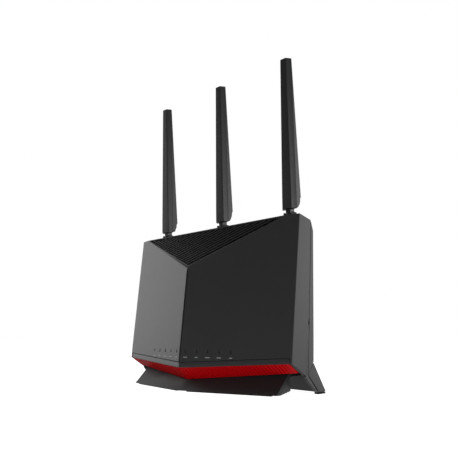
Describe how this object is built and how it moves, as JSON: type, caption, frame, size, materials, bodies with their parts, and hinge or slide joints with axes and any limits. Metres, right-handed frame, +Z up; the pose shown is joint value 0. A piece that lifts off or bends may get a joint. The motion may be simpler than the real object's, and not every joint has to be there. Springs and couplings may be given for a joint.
{
  "type": "wireless router",
  "caption": "Upright wireless router with a faceted V front, sloping top vent, ribbed red trim, splayed base and folding paddle antennas.",
  "frame": {"origin": "floor level under the centre of the object's box", "axes": "+X to the viewer's right, -Y the V-shaped front with the status lights, +Z up"},
  "size_m": [0.23, 0.0989, 0.327],
  "materials": {
    "shell_plastic": "fine moulded grain",
    "base_plastic": "fine moulded grain",
    "grille_plastic": "satin",
    "red_plastic": "ribbed satin",
    "antenna_plastic": "fine moulded grain",
    "button_plastic": "satin",
    "pad_rubber": "matte",
    "steel": "zinc plated",
    "shield_tin": "tin plated",
    "heat_alloy": "extruded",
    "copper_foil": "bare copper",
    "board_laminate": "solder mask",
    "chip_resin": "moulded resin",
    "socket_black": "moulded",
    "socket_blue": "moulded",
    "lens_acrylic": "clear acrylic",
    "cable_jacket": "extruded jacket"
  },
  "bodies": {
    "casing": {"antenna_collar_left": "base_plastic", "antenna_collar_middle": "base_plastic", "antenna_collar_right": "base_plastic", "base_stand": "base_plastic", "coax_cable_left": "cable_jacket", "coax_cable_middle": "cable_jacket", "coax_cable_right": "cable_jacket", "dc_jack": "socket_black", "fast_lan_jack": "socket_black", "flash_chip": "chip_resin", "front_cover": "shell_plastic", "front_pad_left": "pad_rubber", "front_pad_right": "pad_rubber", "heat_sink": "heat_alloy", "housing_screw_lower_left": "steel", "housing_screw_lower_right": "steel", "housing_screw_upper_left": "steel", "housing_screw_upper_right": "steel", "lan_jack_block": "socket_black", "light_guide_left": "lens_acrylic", "light_guide_right": "lens_acrylic", "lower_bezel": "shell_plastic", "main_board": "board_laminate", "memory_chip": "chip_resin", "power_switch": "chip_resin", "processor": "chip_resin", "rear_housing": "shell_plastic", "rear_pad_left": "pad_rubber", "rear_pad_right": "pad_rubber", "rear_stand": "shell_plastic", "red_trim": "red_plastic", "rf_shield_1": "shield_tin", "rf_shield_2": "shield_tin", "top_grille": "grille_plastic", "usb_port_1": "steel", "usb_port_2": "steel", "wan_jack": "socket_blue"},
    "neck_left": {"antenna_neck_left": "button_plastic", "antenna_pin_left": "steel"},
    "blade_left": {"antenna_blade_left": "antenna_plastic", "antenna_element_left": "copper_foil"},
    "neck_middle": {"antenna_neck_middle": "button_plastic", "antenna_pin_middle": "steel"},
    "blade_middle": {"antenna_blade_middle": "antenna_plastic", "antenna_element_middle": "copper_foil"},
    "neck_right": {"antenna_neck_right": "button_plastic", "antenna_pin_right": "steel"},
    "blade_right": {"antenna_blade_right": "antenna_plastic", "antenna_element_right": "copper_foil"},
    "power_button_body": {"power_button": "button_plastic"},
    "reset_button_body": {"reset_button": "button_plastic"},
    "pairing_button_body": {"pairing_button": "button_plastic"},
    "wireless_button_body": {"wireless_button": "button_plastic"},
    "led_button_body": {"led_button": "button_plastic"}
  },
  "joints": [
    {"name": "swivel_left", "type": "hinge", "parent": "casing", "child": "neck_left", "pos_m": [-0.09, 0.0128, 0.165], "axis": [0, 0, 1], "range_deg": [-75, 75]},
    {"name": "tilt_left", "type": "hinge", "parent": "neck_left", "child": "blade_left", "pos_m": [-0.09, 0.0128, 0.183], "axis": [-1, 0, 0], "range_deg": [0, 90]},
    {"name": "swivel_middle", "type": "hinge", "parent": "casing", "child": "neck_middle", "pos_m": [0, 0.0128, 0.165], "axis": [0, 0, 1], "range_deg": [-75, 75]},
    {"name": "tilt_middle", "type": "hinge", "parent": "neck_middle", "child": "blade_middle", "pos_m": [0, 0.0128, 0.183], "axis": [-1, 0, 0], "range_deg": [0, 90]},
    {"name": "swivel_right", "type": "hinge", "parent": "casing", "child": "neck_right", "pos_m": [0.09, 0.0128, 0.165], "axis": [0, 0, 1], "range_deg": [-75, 75]},
    {"name": "tilt_right", "type": "hinge", "parent": "neck_right", "child": "blade_right", "pos_m": [0.09, 0.0128, 0.183], "axis": [-1, 0, 0], "range_deg": [0, 90]},
    {"name": "power_press", "type": "slide", "parent": "casing", "child": "power_button_body", "axis": [0, -1, 0], "range_m": [0, 0.002], "stiffness_N_per_m": 400},
    {"name": "reset_press", "type": "slide", "parent": "casing", "child": "reset_button_body", "axis": [0, -1, 0], "range_m": [0, 0.001], "stiffness_N_per_m": 400},
    {"name": "pairing_press", "type": "slide", "parent": "casing", "child": "pairing_button_body", "axis": [0, -1, 0], "range_m": [0, 0.0008], "stiffness_N_per_m": 400},
    {"name": "wireless_press", "type": "slide", "parent": "casing", "child": "wireless_button_body", "axis": [0, -1, 0], "range_m": [0, 0.0008], "stiffness_N_per_m": 400},
    {"name": "led_press", "type": "slide", "parent": "casing", "child": "led_button_body", "axis": [0, -1, 0], "range_m": [0, 0.0008], "stiffness_N_per_m": 400}
  ]
}
